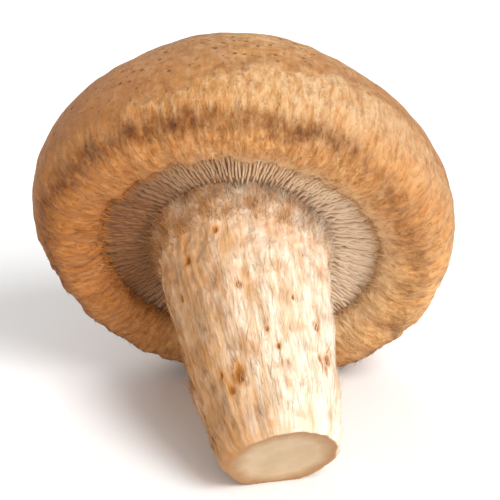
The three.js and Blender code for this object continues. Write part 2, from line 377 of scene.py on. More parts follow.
def dome_dents(turns, fall):
    """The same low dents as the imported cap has."""
    pattern = sum(share * np.sin(lobes * turns + twist * fall) for lobes, share, twist in DENTS)
    return -DENT_DEPTH * pattern * np.sin(2 * fall) ** 2


def cap_relief(turns, points, distance):
    """How far each point is pushed out along its normal, in millimetres."""
    fall = np.arccos(np.clip((points[..., 2] - RING_HEIGHT) / CROWN_HEIGHT, 0, 1))
    crown = 1 - ramp(distance - CROWN_DISTANCE, *WRINKLE_REACH)
    wrinkles = np.clip(1 - 2 * np.abs(layered_noise(points, WRINKLE_SIZE, 3)), 0, 1)
    on_skin = (dome_dents(turns, fall) - crown * WRINKLE_DEPTH * wrinkles
               + SKIN_WAVE * layered_noise(points, SKIN_WAVE_SIZE, 7) + SKIN_EDGE_STEP)
    ribs = FIBRE_RIB_HEIGHT * sum(np.sin(lobes * turns + start) for lobes, start in FIBRE_RIBS)
    swell = SWELL_HEIGHT * noise(points, SWELL_SIZE, 9)
    on_fibre = (ribs * ramp(distance, *FIBRE_RIBS_GROW) + swell
                + STREAK_DEPTH * streaks(turns, distance, *FIBRE_STREAKS, 11)
                + CLUMP_DEPTH * layered_noise(points, CLUMP_SIZE, 15))
    hidden = ramp(distance, LIP_DISTANCE, LIP_DISTANCE + 1)
    return mix(on_fibre * (1 - hidden), on_skin, skin_share(turns, distance))


print("the skin ends", SKIN_EDGE, "mm past the widest ring, or", WORN_BACK, "mm sooner where worn")

# %% [markdown]
# Relief is pushed out along the surface's own direction, which is worked out from each point's
# neighbours round its ring and down the stack. The finished stack is closed with a pole at each
# end, so that the piece is a solid and not a sleeve.

# %% Normals and ends for a stack of rings
def ring_normals(points):
    """Outward directions on a stack of rings."""
    round_the_ring = np.roll(points, -1, axis=1) - np.roll(points, 1, axis=1)
    down_the_rings = np.gradient(points, axis=0)
    normals = np.cross(round_the_ring, down_the_rings)
    return normals / np.maximum(np.linalg.norm(normals, axis=-1, keepdims=True), 1e-9)


def closed_stack(name, rings, top_pole, bottom_pole, growth, pole_distances, **point_values):
    """A closed skin over rings of points, with a pole at each end."""
    count, steps = rings.shape[:2]
    points = np.concatenate([rings.reshape(-1, 3), [top_pole, bottom_pole]])
    poles = count * steps
    faces = ring_faces(count, steps)
    faces += fan_faces(poles, 0, steps, downwards=False)
    faces += fan_faces(poles + 1, (count - 1) * steps, steps, downwards=True)
    pole_growth = [[0, 0, distance] for distance in pole_distances]
    point_values = {key: np.append(values, [values[0], values[-1]])
                    for key, values in point_values.items()}
    return make_piece(name, points, faces, growth=np.concatenate([growth, pole_growth]),
                      **point_values)


print("corners on the cap:", len(cap_radii) * CAP_AROUND)

# %% Build the cap
turns = around(CAP_AROUND)[None, :]
cap_rings = on_circle(turns, cap_radii[:, None] * outline_factor(turns, cap_radii[:, None]),
                      RING_HEIGHT + cap_heights[:, None])
distance_of_ring = np.broadcast_to(cap_distance[:, None], cap_rings.shape[:2])
relief = cap_relief(turns, cap_rings, distance_of_ring)
cap_rings = cap_rings + ring_normals(cap_rings) * relief[..., None]
crown_point = [0, 0, cap_rings[0, :, 2].mean()]
cap = closed_stack("cap_flesh", cap_rings, crown_point, [0, 0, RING_HEIGHT - FLESH_DROP],
                   growth_of(turns, distance_of_ring), (CROWN_DISTANCE, cap_distance[-1]),
                   skin=skin_share(turns, distance_of_ring).ravel())

# %% [markdown]
# ## The gills
#
# Gills are blades thinner than card, packed round the stem: long ones from stem to margin and
# short ones between them that start part of the way out. They could be one surface with a
# pleated bump, but real blades throw the soft shadows that make the ring look deep. Each blade
# is a thin closed wedge with a rounded free edge, slightly wavy, on a thin ring that closes the
# gaps between the roots.

# %% One gill
GILL_PAIRS = 104
GILL_HALF_THICKNESS = (0.12, 0.17)  # at the stem, at the lip
GILL_EDGE_SHARE = 0.62  # how thick the free edge is, as a share of the root
GILL_STEPS = 13
GILL_START = 10.2
GILL_ROOT_DROP = 2.5
GILL_BACK_DROP = 2.8
SHORT_GILL_START = 10.3
SHORT_GILL_VARIATION = 1.2
SHORT_GILL_SLOPE = 0.8
GILL_INTO_LIP = 0.1  # mm that a blade reaches into the margin
GILL_WAVE, GILL_WAVE_RATE = 0.05, 1.3  # mm sideways
GILL_EDGE_WAVE = 0.09
GILL_EDGE_RATES = [(3.1, 1), (7.3, 2)]  # how fast each wave runs, and its share of the phase
GILL_LOWERED = 0.35  # the least deep gill ends this much short of the deepest
ACROSS = np.array([-1, -1, -GILL_EDGE_SHARE, GILL_EDGE_SHARE, 1, 1])
DEPTHS = np.array([0, 0.8, 1, 1, 0.8, 0])


def blade_points(turn, start, lowered, phase):
    """Corners across the blade at each step outwards: root, side, edge, edge, side, root."""
    out = np.linspace(start, lip_radius(turn) + GILL_INTO_LIP, GILL_STEPS)
    share = (out - STEM_TOP_RADIUS) / (LIP_RADIUS - STEM_TOP_RADIUS)
    drop = mix(GILL_EDGE_DROP_AT_STEM, GILL_EDGE_DROP_AT_LIP, share) - lowered
    drop = drop + GILL_EDGE_WAVE * sum(np.sin(rate * out + part * phase)
                                       for rate, part in GILL_EDGE_RATES)
    if start > STEM_TOP_RADIUS:
        drop = mix(GILL_BACK_DROP, drop, ramp(out, start, start + SHORT_GILL_SLOPE))
    offsets = (GILL_WAVE * np.sin(GILL_WAVE_RATE * out + phase))[:, None]
    offsets = offsets + mix(*GILL_HALF_THICKNESS, share)[:, None] * ACROSS[None, :]
    heights = RING_HEIGHT - mix(GILL_ROOT_DROP, drop[:, None], DEPTHS[None, :])
    return on_circle(turn + offsets / out[:, None], out[:, None], heights)


def blade_faces(first):
    """Bands along the blade, with its two ends closed."""
    across = len(ACROSS)
    faces = [(first + i * across + j, first + i * across + (j + 1) % across,
              first + (i + 1) * across + (j + 1) % across, first + (i + 1) * across + j)
             for i in range(GILL_STEPS - 1) for j in range(across)]
    last = first + (GILL_STEPS - 1) * across
    faces.append(tuple(first + j for j in reversed(range(across))))
    faces.append(tuple(last + j for j in range(across)))
    return faces


print(2 * GILL_PAIRS, "gills, up to", 2 * max(GILL_HALF_THICKNESS), "mm thick")

# %% Build the gills
GILL_TURN_VARIATION = 0.004  # radians
BACK_SLACK = 0.05  # mm between the thin ring and the margin


def gill_ring():
    random = np.random.default_rng(41)
    points, faces, depths, shades, growths = [], [], [], [], []

    def keep(new_points, depth, shade, growth):
        points.append(new_points.reshape(-1, 3))
        depths.append(np.broadcast_to(depth, new_points.shape[:-1]).ravel())
        shades.append(np.full(depths[-1].size, shade))
        growths.append(growth)

    count = 0
    for i, turn in enumerate(around(2 * GILL_PAIRS)):
        start = GILL_START if i % 2 == 0 else random.uniform(
            SHORT_GILL_START, SHORT_GILL_START + SHORT_GILL_VARIATION)
        turn = turn + random.uniform(-GILL_TURN_VARIATION, GILL_TURN_VARIATION)
        blade = blade_points(turn, start, random.uniform(0, GILL_LOWERED), random.uniform(0, 6))
        faces += blade_faces(count)
        from_axis = np.hypot(blade[..., 0], blade[..., 1])
        keep(blade, DEPTHS, random.random(), growth_of(turn, from_axis))
        count += blade[..., 0].size
    back = around(CAP_AROUND // 4)
    outer = lip_radius(back) - BACK_SLACK
    inner = np.full(back.shape, GILL_START)
    for radii, drop in ((inner, BACK_OF_GILLS), (outer, BACK_OF_GILLS),
                        (outer, GILL_BACK_DROP), (inner, GILL_BACK_DROP)):
        keep(on_circle(back, radii, RING_HEIGHT - drop), 0, 0.5, growth_of(back, radii))
    faces += [tuple(count + corner for corner in face)
              for face in ring_faces(4, len(back), wraps=True)]
    return make_piece("gill_blades", np.concatenate(points), faces,
                      growth=np.concatenate(growths), depth=np.concatenate(depths),
                      shade=np.concatenate(shades))


gills = gill_ring()

# %% [markdown]
# ## The stem
#
# The stem is a stout, fibrous column. It bends to one side, because the mushroom grew out of
# the side of a log and turned up, and it widens into the cap. Its centre line is a simple
# curve with one bend. Long fibre ridges run up it, small pits with rusty rims mark it, and the
# cut end is almost flat, with a soft edge where the outer layer dries and turns in.

# %% The stem's centre line and radius
STEM_AROUND = 420
STEM_RINGS = 190
CUT_RINGS = 26
STEM_RIDGE_HEIGHT = 0.1
STEM_RIDGES = [(7, 2), (12, -3)]  # lobes, twist


def centre_line(along):
    """The middle of the stem, from 0 at the cut to 1 at the gills."""
    along = np.asarray(along)[..., None]
    return ((1 - along) ** 2 * STEM_FOOT + 2 * along * (1 - along) * STEM_BEND
            + along ** 2 * STEM_HEAD)


def line_direction(along):
    """Which way the stem grows there, turning into the cap's axis at the top."""
    along = np.asarray(along)[..., None]
    direction = 2 * (1 - along) * (STEM_BEND - STEM_FOOT) + 2 * along * (STEM_HEAD - STEM_BEND)
    direction = direction / np.linalg.norm(direction, axis=-1, keepdims=True)
    direction = mix(direction, np.array([0.0, 0.0, 1.0]), along ** 2)
    return direction / np.linalg.norm(direction, axis=-1, keepdims=True)


def stem_radius(along):
    flare = mix(along ** 3, along, EVEN_FLARE_SHARE)
    return mix(CUT_RADIUS, STEM_TOP_RADIUS, flare) + STEM_BELLY * 4 * along * (1 - along)


line_steps = np.diff(centre_line(np.linspace(0, 1, 50)), axis=0)
STEM_LENGTH = float(np.linalg.norm(line_steps, axis=1).sum())
print("stem", round(STEM_LENGTH, 1), "mm along its bend")

# %% [markdown]
# The pits are placed where the stem shows them, on the side that faces the viewer, and
# a few more are scattered round it by a seeded draw. Each pit is a small ragged hole with a
# rusty stain round it, longer than it is wide.

# %% Pits in the stem
# turn in degrees, millimetres from the cut, radius in millimetres
MARKED_PITS = [(205, 7, 0.65), (220, 8, 0.35), (215, 6, 0.4), (130, 8.5, 0.4), (119, 9, 0.5),
               (125, 7.7, 0.45), (130, 12.5, 0.35), (175, 11.5, 0.25), (190, 17, 0.3),
               (240, 18.5, 0.3), (150, 15.5, 0.25)]
SCATTERED_PITS = 6
PIT_RAGGEDNESS = 0.35
PIT_SQUEEZE, PIT_STRETCH = 1.25, 1.5  # how a pit is drawn narrower and longer than round
PIT_HOLE = (0.25, 1.25)  # where its wall starts and ends, as shares of its radius
PIT_STAIN = (0.3, 2.2)
pit_draw = np.random.default_rng(7)
pits = MARKED_PITS + [
    (pit_draw.uniform(0, 360), pit_draw.uniform(3, 24), pit_draw.uniform(0.2, 0.38))
    for _ in range(SCATTERED_PITS)]


def pit_mask(turns, height, reach):
    """1 in the middle of a pit and 0 away from it."""
    ragged = 1 + PIT_RAGGEDNESS * layered_noise(on_circle(turns, CUT_RADIUS, height), 0.9, 43)
    mask = np.zeros(np.broadcast(turns, height).shape)
    for start, up, radius in pits:
        apart = (turns - math.radians(start) + math.pi) % (2 * math.pi) - math.pi
        away = ragged * np.hypot(apart * CUT_RADIUS * PIT_SQUEEZE, (height - up) / PIT_STRETCH)
        mask = np.maximum(mask, 1 - ramp(away, reach[0] * radius, reach[1] * radius))
    return mask


print(len(pits), "pits")

# %% [markdown]
# The stem's relief is mostly strands, long wavy ones over finer ones, and stretched noise gives
# both. Near the gills they dissolve into cottony lumps. The pits are pressed in last. All of it
# is lower at the cut, where a knife has left a clean edge. The cut itself is nearly smooth, and
# its middle is drawn in a little as it dries.

# %% The stem's relief
STRAND_DEPTH = 0.13
STRANDS, FINE_STRANDS = (44, 8), (120, 4)  # how many round the stem, mm long
STRAND_WANDER = 0.12  # how far the strands swing from side to side, in radians
COTTON_DEPTH, COTTON_SIZE = 0.24, 1.4
COTTON_REACH = (0.45, 0.9)  # shares of the height where it starts and where it is full
LUMP_DEPTH, LUMP_SIZE = 0.22, 4.0
PIT_DEPTH = 0.28


def stem_relief(turns, along, points):
    """How far each point of the flank is pushed out, in millimetres."""
    ridges = STEM_RIDGE_HEIGHT * sum(np.sin(lobes * turns + twist * along)
                                     for lobes, twist in STEM_RIDGES)
    height = along * STEM_LENGTH
    wavy = turns + STRAND_WANDER * noise(points, 5.0, 29)
    wavy = wavy + 0.4 * STRAND_WANDER * noise(points, 2.0, 30)
    strands = 1 - 1.6 * np.abs(streaks(wavy, height, *STRANDS, 31))
    strands = strands + 0.6 * streaks(wavy, height, *FINE_STRANDS, 33)
    cotton = layered_noise(points, COTTON_SIZE, 35) * ramp(along, *COTTON_REACH)
    return (ridges + STRAND_DEPTH * (strands - 0.6) + COTTON_DEPTH * cotton
            + LUMP_DEPTH * layered_noise(points, LUMP_SIZE, 37)
            - PIT_DEPTH * pit_mask(turns, height, PIT_HOLE))


print("strands round the stem:", STRANDS[0], "and finer", FINE_STRANDS[0])

# %% The stem's flank
CUT_EDGE = 0.03  # share of the height over which the relief fades and the edge turns in
RELIEF_AT_CUT = 0.55

turns = around(STEM_AROUND)[None, :]
along = np.linspace(1, 0, STEM_RINGS)[:, None]
directions = line_direction(along[:, 0])
across = SIDE - directions * (directions @ SIDE)[:, None]
across /= np.linalg.norm(across, axis=1, keepdims=True)
beneath = np.cross(directions, across)
centres = centre_line(along[:, 0])
plain = stem_radius(along)[..., None]
outwards = (np.cos(turns)[..., None] * beneath[:, None]
            + np.sin(turns)[..., None] * across[:, None])
side_points = centres[:, None] + plain * outwards
above_cut = ramp(along, 0, CUT_EDGE)
push = mix(RELIEF_AT_CUT, 1.0, above_cut) * stem_relief(turns, along, side_points)
side_points = side_points + push[..., None] * outwards
edge_turn_in = (CUT_EDGE_ROUNDING * (1 - above_cut))[..., None]
side_points = side_points - edge_turn_in * outwards
print("relief on the flank, mm:", push.min().round(2), "to", push.max().round(2))

# %% The cut, and the whole stem
CUT_ROUGHNESS, CUT_GRAIN = 0.05, 1.1
CUT_DISH = 0.25  # how much the middle of the cut is drawn in as it dries
TOP_DISTANCE = STEM_LENGTH + 2  # the top ring is hidden in the cap

top_ring = side_points[:1] + np.array([0.0, 0.0, GILL_EDGE_DROP_AT_STEM - BACK_OF_GILLS])
inward = 1 - np.arange(1, CUT_RINGS) / CUT_RINGS
cut_points = centres[-1] + (side_points[-1] - centres[-1])[None] * inward[:, None, None]
cut_level = CUT_ROUGHNESS * layered_noise(cut_points, CUT_GRAIN, 39)
cut_level = cut_level * (1 - inward[:, None] ** 8)
cut_level = cut_level + CUT_DISH * (1 - inward[:, None] ** 3)
cut_points = cut_points + cut_level[..., None] * directions[-1]

stem_rings = np.concatenate([top_ring, side_points, cut_points])
heights = np.concatenate([[TOP_DISTANCE], along[:, 0] * STEM_LENGTH, (inward - 1) * CUT_RADIUS])
heights = heights[:, None]
stem_growth = growth_of(np.broadcast_to(turns, stem_rings.shape[:2]), heights)
stem_pits = np.where(heights >= 0, pit_mask(turns, heights, PIT_STAIN), 0)
stem = closed_stack("stem_flesh", stem_rings, top_ring[0].mean(axis=0),
                    cut_points[-1].mean(axis=0), stem_growth, (TOP_DISTANCE, -CUT_RADIUS),
                    pit=stem_pits.ravel())

# %% [markdown]
# ## Loose fibres
#
# Up close, the underside of the roll and the stem are not solid surfaces but mats of threads.
# Hair particles would give them, but they can't be kept as a mesh. So each thread is a tiny
# three-sided tube that tapers to its tip, rooted just under the surface. They lie nearly flat,
# along the grain, with a small random lift and turn.

# %% A mat of threads as one mesh
THREAD_STEPS = 4
THREAD_SIDES = 3
THREAD_CURL = 0.3
THREAD_DROOP = 0.7  # how much of its lift a thread has lost at its tip
THREAD_TAPER = 0.75
THREAD_ROOT_DEPTH = 0.06


def thread_faces():
    """The faces of one thread: its sides and its two ends."""
    last = (THREAD_STEPS - 1) * THREAD_SIDES
    sides = ring_faces(THREAD_STEPS, THREAD_SIDES)
    ends = [tuple(range(THREAD_SIDES))[::-1], tuple(last + i for i in range(THREAD_SIDES))]
    return [face[::-1] for face in sides + ends]


def thread_mat(name, sets, draw, **marks):
    """A mesh of threads, from sets of roots, forwards, normals, lengths, radii, lifts, bends
    and growth. The bend is how sharply the surface curves away under a thread, per millimetre.
    Marks are further values, one for each thread."""
    roots, forwards, normals, lengths, radii, lifts, bends, growth = (
        np.concatenate(values) for values in zip(*sets))
    normals = normals - forwards * np.sum(forwards * normals, axis=1, keepdims=True)
    normals = normals / np.linalg.norm(normals, axis=1, keepdims=True)
    sideways = np.cross(normals, forwards)
    step = np.linspace(0, 1, THREAD_STEPS)[None, :, None]
    curl = draw.uniform(-THREAD_CURL, THREAD_CURL, (len(roots), 1, 1))
    line = (step * forwards[:, None] + curl * step ** 2 * sideways[:, None]
            + lifts[:, None, None] * step * (1 - THREAD_DROOP * step) * normals[:, None])
    line = line - (bends * lengths / 2)[:, None, None] * step ** 2 * normals[:, None]
    line = roots[:, None] + lengths[:, None, None] * line
    line = line - THREAD_ROOT_DEPTH * (1 - step) * normals[:, None]
    angle = around(THREAD_SIDES)[:, None, None]
    ring = np.cos(angle) * sideways + np.sin(angle) * normals
    thickness = radii[:, None, None, None] * (1 - THREAD_TAPER * step[..., None])
    points = line[:, :, None] + thickness * ring.transpose(1, 0, 2)[:, None]
    per_thread = THREAD_STEPS * THREAD_SIDES
    pattern = thread_faces()
    faces = [tuple(thread * per_thread + corner for corner in face)
             for thread in range(len(roots)) for face in pattern]
    return make_piece(name, points.reshape(-1, 3), faces,
                      growth=np.repeat(growth, per_thread, axis=0),
                      shade=np.repeat(draw.random(len(roots)), per_thread),
                      **{key: np.repeat(values, per_thread) for key, values in marks.items()})


print("a thread has", len(thread_faces()), "faces")

# %% [markdown]
# Threads are rooted at random places on a stack of rings. Each one runs along the grain there,
# turned by a small random angle.

# %% Root threads on rings
def unit(vectors):
    return vectors / np.linalg.norm(vectors, axis=-1, keepdims=True)


def rooted(rings, ways, draw, count, first_ring, last_ring):
    """Where threads start, which way the grain runs there, and which way is out."""
    ring = draw.integers(first_ring, last_ring, count)
    step = draw.integers(0, rings.shape[1], count)
    normals = ring_normals(rings)[ring, step]
    ways = ways[ring, step]
    ways = unit(ways - normals * np.sum(ways * normals, axis=1, keepdims=True))
    return ring, step, rings[ring, step], ways, normals


def turned(ways, normals, draw, spread):
    """The same ways, each swung a little along the surface by a draw."""
    angle = draw.normal(0, 1, (len(ways), 1)) * spread
    return np.cos(angle) * ways + np.sin(angle) * np.cross(normals, ways)


print("places to root on, cap and stem:", cap_rings[..., 0].size, side_points[..., 0].size)

# %% Threads under the roll, and a fringe over the ends of the gills
MARGIN_THREADS, FRINGE_THREADS = 7600, 1300
MARGIN_LENGTHS, FRINGE_LENGTHS = (0.5, 1.7), (0.5, 1.5)  # mm
MARGIN_RADII, FRINGE_RADII = (0.025, 0.05), (0.028, 0.05)  # mm
MARGIN_SWING, FRINGE_SWING = 0.35, 0.3  # radians
ROLL_BEND = 0.2
margin_draw = np.random.default_rng(13)
downward = np.gradient(cap_rings, axis=0)
LIP_RING = DOME_RINGS + OUTER_ROLL_RINGS + INNER_ROLL_RINGS - 1

ring, step, roots, ways, normals = rooted(
    cap_rings, downward, margin_draw, MARGIN_THREADS, DOME_RINGS - 6, LIP_RING)
on_fibre = 1 - skin_share(around(CAP_AROUND)[step], cap_distance[ring])
near_gills = ramp(cap_distance[ring], 2, 9)
lengths = margin_draw.uniform(*MARGIN_LENGTHS, MARGIN_THREADS) * mix(0.25, 1, on_fibre)
margin_set = (roots, turned(ways, normals, margin_draw, MARGIN_SWING), normals, lengths,
              margin_draw.uniform(*MARGIN_RADII, MARGIN_THREADS),
              margin_draw.uniform(0, 0.2, MARGIN_THREADS) * mix(0.2, 1, near_gills),
              np.full(MARGIN_THREADS, ROLL_BEND),
              growth_of(around(CAP_AROUND)[step], cap_distance[ring]))

ring, step, roots, ways, normals = rooted(
    cap_rings, downward, margin_draw, FRINGE_THREADS, LIP_RING - 9, LIP_RING)
inwards = unit(-roots * [1, 1, 0])
away = unit(normals - [0, 0, 1])
fringe_set = (roots, turned(inwards, away, margin_draw, FRINGE_SWING), away,
              margin_draw.uniform(*FRINGE_LENGTHS, FRINGE_THREADS),
              margin_draw.uniform(*FRINGE_RADII, FRINGE_THREADS),
              margin_draw.uniform(-0.1, 0.2, FRINGE_THREADS), np.zeros(FRINGE_THREADS),
              growth_of(around(CAP_AROUND)[step], cap_distance[ring]))
margin_threads = thread_mat("margin_threads", [margin_set, fringe_set], margin_draw)

# %% Threads up the stem, and fuzz where it meets the gills
STEM_THREADS, FUZZ_THREADS = 5600, 3300
FLANK_LENGTHS, FUZZ_LENGTHS = (0.8, 3.2), (0.4, 1.3)  # mm
FLANK_RADII, FUZZ_RADII = (0.03, 0.06), (0.03, 0.055)  # mm
NEAT_SWING, LOOSE_SWING, FUZZ_SWING = 0.16, 0.8, 0.5  # radians
LOOSE_FROM = 0.55  # share of the height from which the threads get shorter and looser
FUZZ_RINGS = 30
stem_draw = np.random.default_rng(17)
upward = -np.gradient(side_points, axis=0)

ring, step, roots, ways, normals = rooted(
    side_points, upward, stem_draw, STEM_THREADS, 2, STEM_RINGS - 7)
loose = ramp(along[ring, 0], LOOSE_FROM, LOOSE_FROM + 0.25)
root_places = (around(STEM_AROUND)[step], along[ring, 0] * STEM_LENGTH)
flank_pits = pit_mask(*root_places, PIT_STAIN)
clear_of_holes = 1 - 0.9 * pit_mask(*root_places, PIT_HOLE)
swing = mix(NEAT_SWING, LOOSE_SWING, loose)[:, None]
stem_set = (roots, turned(ways, normals, stem_draw, swing), normals,
            stem_draw.uniform(*FLANK_LENGTHS, STEM_THREADS) * mix(1, 0.4, loose) * clear_of_holes,
            stem_draw.uniform(*FLANK_RADII, STEM_THREADS),
            stem_draw.uniform(0, 0.12, STEM_THREADS), np.zeros(STEM_THREADS),
            growth_of(*root_places))

ring, step, roots, ways, normals = rooted(
    side_points, upward, stem_draw, FUZZ_THREADS, 1, FUZZ_RINGS)
at_gills = 1 - ramp(ring, 3, 12)
outward_share = stem_draw.uniform(0.1, 1.1, FUZZ_THREADS) + 0.8 * at_gills
spread_out = turned(ways, normals, stem_draw, FUZZ_SWING) + outward_share[:, None] * normals
fuzz_set = (roots, unit(spread_out), unit(normals - 0.5 * ways),
            stem_draw.uniform(*FUZZ_LENGTHS, FUZZ_THREADS) * (1 + 0.3 * at_gills),
            stem_draw.uniform(*FUZZ_RADII, FUZZ_THREADS),
            stem_draw.uniform(-0.1, 0.3, FUZZ_THREADS), np.zeros(FUZZ_THREADS),
            growth_of(around(STEM_AROUND)[step], along[ring, 0] * STEM_LENGTH))
stem_threads = thread_mat("stem_threads", [stem_set, fuzz_set], stem_draw,
                          pit=np.append(flank_pits, np.zeros(FUZZ_THREADS)))

# %% [markdown]
# ## Shader groups
#
# Three effects turn up in more than one finish: streaks of fibre, soft patches and a fine nap.
# A fourth, dark specks, is used several times on the cap. Each is made once as a node group and
# placed with its own values where it is needed. Each puts out one mask or height from 0 to 1.
# The surfaces themselves are shaded in each material.

# %% Helpers for node trees
def add(tree, kind, inputs=None, **settings):
    """A new node. Each input is a number or colour, or the socket that feeds it."""
    node = tree.nodes.new("ShaderNode" + kind)
    for name, value in settings.items():
        setattr(node, name, value)
    for name, value in (inputs or {}).items():
        if isinstance(value, bpy.types.NodeSocket):
            tree.links.new(value, node.inputs[name])
        else:
            node.inputs[name].default_value = value
    return node


def calculate(tree, operation, first, second=0.0, clamp=False):
    node = add(tree, "Math", {0: first, 1: second}, operation=operation, use_clamp=clamp)
    return node.outputs[0]


def rescale(tree, value, start, end, low=0.0, high=1.0):
    """The value as a mask: low at start, high at end, and no further."""
    node = add(tree, "MapRange", {0: value, 1: start, 2: end, 3: low, 4: high})
    return node.outputs[0]


def new_group(name, inputs, output=("Mask", "Float")):
    """An empty group with its inputs, its one output and the sockets to wire them from."""
    tree = bpy.data.node_groups.new(name, "ShaderNodeTree")

    def new_socket(socket_name, kind, way):
        return tree.interface.new_socket(socket_name, in_out=way, socket_type="NodeSocket" + kind)

    for input_name, (kind, value) in inputs.items():
        socket = new_socket(input_name, kind, "INPUT")
        if value is not None:
            socket.default_value = value
    new_socket(*output, "OUTPUT")
    entry = tree.nodes.new("NodeGroupInput").outputs
    leave = tree.nodes.new("NodeGroupOutput").inputs[output[0]]
    return tree, entry, leave


def growth_parts(tree, growth):
    """Towards +X, towards the underside, and the distance along the form."""
    return add(tree, "SeparateXYZ", {0: growth}).outputs


print("helpers ready:", add.__name__, calculate.__name__, rescale.__name__, new_group.__name__)

# %% Streaks of fibre
def build_streaks_group():
    tree, entry, leave = new_group("fibre streaks", {
        "Growth": ("Vector", None), "Streaks Around": ("Float", 100.0),
        "Length": ("Float", 3.0), "Seed": ("Float", 0.0)})
    side, under, distance = growth_parts(tree, entry["Growth"])
    circle = calculate(tree, "DIVIDE", entry["Streaks Around"], 2 * math.pi)
    place = add(tree, "CombineXYZ", {
        0: calculate(tree, "MULTIPLY", side, circle),
        1: calculate(tree, "MULTIPLY", under, circle),
        2: calculate(tree, "DIVIDE", distance, entry["Length"])}).outputs[0]
    pattern = add(tree, "TexNoise", {
        "Vector": place, "W": entry["Seed"], "Scale": 1.0, "Detail": 3.0, "Roughness": 0.6,
        "Distortion": 0.25}, noise_dimensions="4D").outputs[0]
    tree.links.new(rescale(tree, pattern, 0.32, 0.68), leave)
    return tree


STREAKS = build_streaks_group()
print(STREAKS.name, "group ready")

# %% Soft patches
def build_patches_group():
    tree, entry, leave = new_group("soft patches", {
        "Size": ("Float", 4.0), "Edge": ("Float", 0.2), "Level": ("Float", 0.5),
        "Seed": ("Float", 0.0)})
    place = add(tree, "TexCoord").outputs["Object"]
    scale = calculate(tree, "DIVIDE", 1 / MM, entry["Size"])
    pattern = add(tree, "TexNoise", {
        "Vector": place, "W": entry["Seed"], "Scale": scale, "Detail": 4.0, "Roughness": 0.55},
        noise_dimensions="4D").outputs[0]
    start = calculate(tree, "SUBTRACT", entry["Level"], entry["Edge"])
    end = calculate(tree, "ADD", entry["Level"], entry["Edge"])
    tree.links.new(rescale(tree, pattern, start, end), leave)
    return tree


PATCHES = build_patches_group()
print(PATCHES.name, "group ready")

# %% Dark specks
def build_specks_group():
    tree, entry, leave = new_group("dark specks", {
        "Spacing": ("Float", 1.5), "Speck Size": ("Float", 0.25), "Kept": ("Float", 0.5),
        "Seed": ("Float", 0.0)})
    place = add(tree, "TexCoord").outputs["Object"]
    moved = add(tree, "VectorMath", {0: place, 1: entry["Seed"]}).outputs[0]
    cells = add(tree, "TexVoronoi", {
        "Vector": moved, "Scale": calculate(tree, "DIVIDE", 1 / MM, entry["Spacing"])}).outputs
    radius = calculate(tree, "DIVIDE", entry["Speck Size"], entry["Spacing"])
    inner = calculate(tree, "MULTIPLY", radius, 0.4)
    spot = rescale(tree, cells["Distance"], inner, radius, 1.0, 0.0)
    draw = add(tree, "SeparateXYZ", {0: cells["Color"]}).outputs[0]
    kept = calculate(tree, "LESS_THAN", draw, entry["Kept"])
    tree.links.new(calculate(tree, "MULTIPLY", spot, kept), leave)
    return tree


SPECKS = build_specks_group()
print(SPECKS.name, "group ready")

# %% Fine nap
def build_nap_group():
    tree, entry, leave = new_group("fine nap", {"Grain": ("Float", 0.3)}, ("Height", "Float"))
    place = add(tree, "TexCoord").outputs["Object"]
    pattern = add(tree, "TexNoise", {
        "Vector": place, "Scale": calculate(tree, "DIVIDE", 1 / MM, entry["Grain"]),
        "Detail": 5.0, "Roughness": 0.7}).outputs[0]
    tree.links.new(pattern, leave)
    return tree


NAP = build_nap_group()
print(NAP.name, "group ready")

# %% [markdown]
# ## Colours
#
# Colours are picked from the real thing and written the way a paint chart has them.
# Nodes work with light, so each is turned into linear light first.

# %% Paint-chart colours to light
def tone(code):
    """A colour such as d9a974 as linear light."""
    parts = [int(code[i:i + 2], 16) / 255 for i in (0, 2, 4)]
    light = [part / 12.92 if part <= 0.04045 else ((part + 0.055) / 1.055) ** 2.4
             for part in parts]  # the curve that screens use
    return (*light, 1.0)


def blend(tree, mask, low, high):
    """Colour low where the mask is 0 and high where it is 1."""
    node = add(tree, "Mix", {0: mask, 6: low, 7: high}, data_type="RGBA")
    return node.outputs[2]


def use(tree, group, **inputs):
    """A group placed in a material, with its own values."""
    node = tree.nodes.new("ShaderNodeGroup")
    node.node_tree = group
    for name, value in inputs.items():
        socket = node.inputs[name.replace("_", " ").title()]
        if isinstance(value, bpy.types.NodeSocket):
            tree.links.new(value, socket)
        else:
            socket.default_value = value
    return node.outputs[0]


def both(tree, first, second):
    return calculate(tree, "MULTIPLY", first, second)


def stained(tree, mask, strength, colour, stain):
    """The colour with a share of the stain where the mask says."""
    return blend(tree, both(tree, mask, strength), colour, stain)


def new_material(name):
    material = bpy.data.materials.new(name)
    material.use_nodes = True
    tree = material.node_tree
    return material, tree, tree.nodes["Principled BSDF"]


def kept(tree, name):
    """A number that was kept with the mesh, such as skin or shade."""
    return add(tree, "Attribute", attribute_name=name).outputs["Fac"]


def kept_growth(tree):
    return add(tree, "Attribute", attribute_name="growth").outputs["Vector"]


def finish_surface(tree, surface, colour, roughness, height, depth):
    """Colour, roughness and relief go into the surface; depth is the relief's, in millimetres."""
    bump = add(tree, "Bump", {"Height": height, "Distance": depth * MM, "Strength": 1.0})
    for name, value in (("Base Color", colour), ("Roughness", roughness),
                        ("Normal", bump.outputs["Normal"])):
        tree.links.new(value, surface.inputs[name])


def soften(surface, scatter, radius, depth, sheen=0.0):
    """Flesh lets a share of the light in, to scatter, and fine hairs give it a faint sheen."""
    for name, value in (("Subsurface Weight", scatter), ("Subsurface Radius", radius),
                        ("Subsurface Scale", depth * MM), ("Specular IOR Level", 0.2),
                        ("Sheen Weight", sheen), ("Sheen Roughness", 0.5)):
        surface.inputs[name].default_value = value


print("sand in linear light:", [round(part, 3) for part in tone("cd8a45")])
